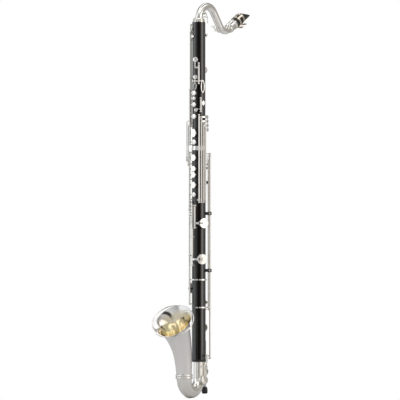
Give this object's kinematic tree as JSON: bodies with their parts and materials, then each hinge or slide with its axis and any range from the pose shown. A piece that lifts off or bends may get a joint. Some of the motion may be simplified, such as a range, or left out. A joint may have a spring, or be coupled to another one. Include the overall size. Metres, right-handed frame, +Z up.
{
  "type": "bass clarinet",
  "caption": "Bass clarinet to low C: two-joint wooden body, curved neck with mouthpiece, upturned bell, working keywork, floor peg.",
  "frame": {"origin": "on the bore axis at the middle joint, where a stand or a hand holds the body", "axes": "+Z up the bore towards the neck, tone holes and bell face -Y, the player and the mouthpiece are on +Y, the player's left is +X"},
  "size_m": [0.12, 0.4272, 1.1266],
  "materials": {
    "silver": "polished silver plate on nickel silver and brass",
    "grenadilla": "oiled and polished, fine straight grain",
    "cork": "waxed cork",
    "ebonite": "polished hard rubber",
    "cane": "bare cane",
    "steel": "ground steel",
    "rubber": "matte rubber",
    "black_plastic": "satin black",
    "pad_skin": "fish skin over felt"
  },
  "bodies": {
    "body": {"bell_bow": "silver", "bell_flare": "silver", "bell_ring": "silver", "bottom_ring": "black_plastic", "hinge_rods": "steel", "joint_corks": "cork", "ligature": "silver", "lower_joint": "grenadilla", "lower_ring": "silver", "mouthpiece": "ebonite", "neck_socket": "silver", "neck_tube": "silver", "needle_springs": "steel", "peg_holder": "silver", "posts": "silver", "reed": "cane", "rod_guides": "black_plastic", "strap_ring": "silver", "thumb_rest": "black_plastic", "top_collar": "silver", "upper_joint": "grenadilla", "upper_ring": "silver"},
    "index_plate": {"index_plate": "silver"},
    "middle_plate": {"middle_plate": "silver"},
    "ring_plate": {"ring_plate": "silver"},
    "long_plate": {"long_plate": "silver"},
    "bridge_plate": {"bridge_plate": "silver"},
    "right_index_plate": {"right_index_plate": "silver"},
    "right_middle_plate": {"right_middle_plate": "silver"},
    "right_ring_plate": {"right_ring_plate": "silver"},
    "throat_a_key": {"throat_a_key": "silver"},
    "cross_key": {"cross_key": "silver"},
    "register_key": {"register_key": "silver"},
    "side_key_1": {"side_key_1": "silver"},
    "side_key_2": {"side_key_2": "silver"},
    "right_paddle_1": {"right_paddle_1": "silver"},
    "right_paddle_2": {"right_paddle_2": "silver"},
    "right_paddle_3": {"right_paddle_3": "silver"},
    "left_lever_1": {"left_lever_1": "silver"},
    "left_lever_2": {"left_lever_2": "silver"},
    "left_lever_3": {"left_lever_3": "silver"},
    "left_lever_4": {"left_lever_4": "silver"},
    "fs_key": {"fs_key": "silver", "fs_pad": "pad_skin"},
    "f_key": {"f_key": "silver", "f_pad": "pad_skin"},
    "eb_key": {"eb_key": "silver"},
    "thumb_c_key": {"thumb_c_key": "silver"},
    "thumb_d_key": {"thumb_d_key": "silver"},
    "thumb_cs_key": {"thumb_cs_key": "silver"},
    "throat_gs_key": {"throat_gs_key": "silver"},
    "neck_key": {"neck_key": "silver"},
    "water_key": {"water_key": "silver"},
    "low_c_key": {"low_c_key": "silver", "low_c_pad": "pad_skin"},
    "ligature_screw_1": {"ligature_screw_1": "silver"},
    "ligature_screw_2": {"ligature_screw_2": "silver"},
    "peg_screw": {"peg_screw": "silver"},
    "floor_peg": {"floor_peg": "steel", "peg_tip": "rubber"}
  },
  "joints": [
    {"name": "index_plate_hinge", "type": "hinge", "parent": "body", "child": "index_plate", "pos_m": [-0.0171, -0.02038, 0.15], "axis": [0, 0, 1], "range_deg": [0, 7], "stiffness_Nm_per_rad": 0.4},
    {"name": "middle_plate_hinge", "type": "hinge", "parent": "body", "child": "middle_plate", "pos_m": [-0.0171, -0.02038, 0.125], "axis": [0, 0, 1], "range_deg": [0, 7], "stiffness_Nm_per_rad": 0.4},
    {"name": "ring_plate_hinge", "type": "hinge", "parent": "body", "child": "ring_plate", "pos_m": [-0.0171, -0.02038, 0.09], "axis": [0, 0, 1], "range_deg": [0, 7], "stiffness_Nm_per_rad": 0.4},
    {"name": "long_plate_hinge", "type": "hinge", "parent": "body", "child": "long_plate", "pos_m": [-0.0171, -0.02038, 0.045], "axis": [0, 0, 1], "range_deg": [0, 7], "stiffness_Nm_per_rad": 0.4},
    {"name": "bridge_plate_hinge", "type": "hinge", "parent": "body", "child": "bridge_plate", "pos_m": [-0.0171, -0.02038, 0.02], "axis": [0, 0, 1], "range_deg": [0, 7], "stiffness_Nm_per_rad": 0.4},
    {"name": "right_index_plate_hinge", "type": "hinge", "parent": "body", "child": "right_index_plate", "pos_m": [-0.01761, -0.02099, -0.028], "axis": [0, 0, 1], "range_deg": [0, 7], "stiffness_Nm_per_rad": 0.4},
    {"name": "right_middle_plate_hinge", "type": "hinge", "parent": "body", "child": "right_middle_plate", "pos_m": [-0.01761, -0.02099, -0.065], "axis": [0, 0, 1], "range_deg": [0, 7], "stiffness_Nm_per_rad": 0.4},
    {"name": "right_ring_plate_hinge", "type": "hinge", "parent": "body", "child": "right_ring_plate", "pos_m": [-0.01761, -0.02099, -0.115], "axis": [0, 0, 1], "range_deg": [0, 7], "stiffness_Nm_per_rad": 0.4},
    {"name": "throat_a_key_hinge", "type": "hinge", "parent": "body", "child": "throat_a_key", "pos_m": [0.01487, -0.02205, 0.212], "axis": [0, 0, 1], "range_deg": [0, 8], "stiffness_Nm_per_rad": 0.4},
    {"name": "cross_key_hinge", "type": "hinge", "parent": "body", "child": "cross_key", "pos_m": [0.01945, -0.01814, 0.12], "axis": [0, 0, 1], "range_deg": [0, 8], "stiffness_Nm_per_rad": 0.4},
    {"name": "register_key_hinge", "type": "hinge", "parent": "body", "child": "register_key", "pos_m": [-0.01124, 0.02411, 0.25], "axis": [0, 0, 1], "range_deg": [0, 8], "stiffness_Nm_per_rad": 0.4},
    {"name": "side_key_1_hinge", "type": "hinge", "parent": "body", "child": "side_key_1", "pos_m": [-0.02079, -0.012, 0.2], "axis": [0, 0, 1], "range_deg": [-8, 0], "stiffness_Nm_per_rad": 0.4},
    {"name": "side_key_2_hinge", "type": "hinge", "parent": "body", "child": "side_key_2", "pos_m": [-0.02329, -0.00581, 0.2], "axis": [0, 0, 1], "range_deg": [-8, 0], "stiffness_Nm_per_rad": 0.4},
    {"name": "right_paddle_1_hinge", "type": "hinge", "parent": "body", "child": "right_paddle_1", "pos_m": [-0.01761, -0.02099, -0.161], "axis": [0, 0, 1], "range_deg": [-8, 0], "stiffness_Nm_per_rad": 0.4},
    {"name": "right_paddle_2_hinge", "type": "hinge", "parent": "body", "child": "right_paddle_2", "pos_m": [-0.01761, -0.02099, -0.172], "axis": [0, 0, 1], "range_deg": [-8, 0], "stiffness_Nm_per_rad": 0.4},
    {"name": "right_paddle_3_hinge", "type": "hinge", "parent": "body", "child": "right_paddle_3", "pos_m": [-0.01761, -0.02099, -0.183], "axis": [0, 0, 1], "range_deg": [-8, 0], "stiffness_Nm_per_rad": 0.4},
    {"name": "left_lever_1_hinge", "type": "hinge", "parent": "body", "child": "left_lever_1", "pos_m": [0.01611, -0.02217, 0], "axis": [0, 0, 1], "range_deg": [0, 8]},
    {"name": "left_lever_2_hinge", "type": "hinge", "parent": "body", "child": "left_lever_2", "pos_m": [0.02099, -0.01761, 0], "axis": [0, 0, 1], "range_deg": [0, 8]},
    {"name": "left_lever_3_hinge", "type": "hinge", "parent": "body", "child": "left_lever_3", "pos_m": [0.02463, -0.01201, 0], "axis": [0, 0, 1], "range_deg": [0, 8]},
    {"name": "left_lever_4_hinge", "type": "hinge", "parent": "body", "child": "left_lever_4", "pos_m": [0.0268, -0.0057, 0], "axis": [0, 0, 1], "range_deg": [0, 6]},
    {"name": "fs_key_hinge", "type": "hinge", "parent": "body", "child": "fs_key", "pos_m": [0.00381, -0.02713, -0.2], "axis": [0, 0, 1], "range_deg": [0, 6]},
    {"name": "f_key_hinge", "type": "hinge", "parent": "body", "child": "f_key", "pos_m": [-0.00429, -0.02706, -0.25], "axis": [0, 0, 1], "range_deg": [0, 6]},
    {"name": "eb_key_hinge", "type": "hinge", "parent": "body", "child": "eb_key", "pos_m": [-0.01761, -0.02099, -0.32], "axis": [0, 0, 1], "range_deg": [-6, 0]},
    {"name": "thumb_c_key_hinge", "type": "hinge", "parent": "body", "child": "thumb_c_key", "pos_m": [0.02653, 0.01789, -0.3], "axis": [0, 0, 1], "range_deg": [0, 6], "stiffness_Nm_per_rad": 0.4},
    {"name": "thumb_d_key_hinge", "type": "hinge", "parent": "body", "child": "thumb_d_key", "pos_m": [0.0155, 0.02685, -0.25], "axis": [0, 0, 1], "range_deg": [0, 6], "stiffness_Nm_per_rad": 0.4},
    {"name": "thumb_cs_key_hinge", "type": "hinge", "parent": "body", "child": "thumb_cs_key", "pos_m": [-0.01537, 0.02459, -0.3], "axis": [0, 0, 1], "range_deg": [-6, 0], "stiffness_Nm_per_rad": 0.4},
    {"name": "throat_gs_key_hinge", "type": "hinge", "parent": "body", "child": "throat_gs_key", "pos_m": [0.00351, -0.02496, 0.19], "axis": [0.9903, 0.1392, 0], "range_deg": [0, 12], "stiffness_Nm_per_rad": 0.3},
    {"name": "neck_key_hinge", "type": "hinge", "parent": "body", "child": "neck_key", "pos_m": [0.01925, 0.01348, 0.374], "axis": [-0.5736, 0.8192, 0], "range_deg": [0, 10], "stiffness_Nm_per_rad": 0.2},
    {"name": "water_key_hinge", "type": "hinge", "parent": "body", "child": "water_key", "pos_m": [0, 0.091, 0.3375], "axis": [1, 0, 0], "range_deg": [-14, 0], "stiffness_Nm_per_rad": 0.2},
    {"name": "low_c_key_hinge", "type": "hinge", "parent": "body", "child": "low_c_key", "pos_m": [0.02684, -0.00473, -0.623], "axis": [0.1736, 0.9848, 0], "range_deg": [0, 4.5]},
    {"name": "ligature_screw_1_hinge", "type": "hinge", "parent": "body", "child": "ligature_screw_1", "pos_m": [0, 0.20097, 0.34984], "axis": [1, 0, 0], "continuous": true},
    {"name": "ligature_screw_2_hinge", "type": "hinge", "parent": "body", "child": "ligature_screw_2", "pos_m": [0, 0.21819, 0.35899], "axis": [1, 0, 0], "continuous": true},
    {"name": "peg_screw_hinge", "type": "hinge", "parent": "body", "child": "peg_screw", "pos_m": [0, 0.03, -0.638], "axis": [0, 1, 0], "continuous": true},
    {"name": "floor_peg_slide", "type": "slide", "parent": "body", "child": "floor_peg", "axis": [0, 0, -1], "range_m": [0, 0.09]}
  ],
  "couplings": [
    {"joint": "fs_key_hinge", "follows": "right_paddle_1_hinge", "ratio": -0.75},
    {"joint": "left_lever_1_hinge", "follows": "right_paddle_1_hinge", "ratio": -1},
    {"joint": "f_key_hinge", "follows": "right_paddle_2_hinge", "ratio": -0.75},
    {"joint": "left_lever_2_hinge", "follows": "right_paddle_2_hinge", "ratio": -1},
    {"joint": "eb_key_hinge", "follows": "right_paddle_3_hinge", "ratio": 0.75},
    {"joint": "left_lever_3_hinge", "follows": "right_paddle_3_hinge", "ratio": -1},
    {"joint": "left_lever_4_hinge", "follows": "thumb_d_key_hinge", "ratio": 1},
    {"joint": "low_c_key_hinge", "follows": "thumb_c_key_hinge", "ratio": 0.75}
  ]
}
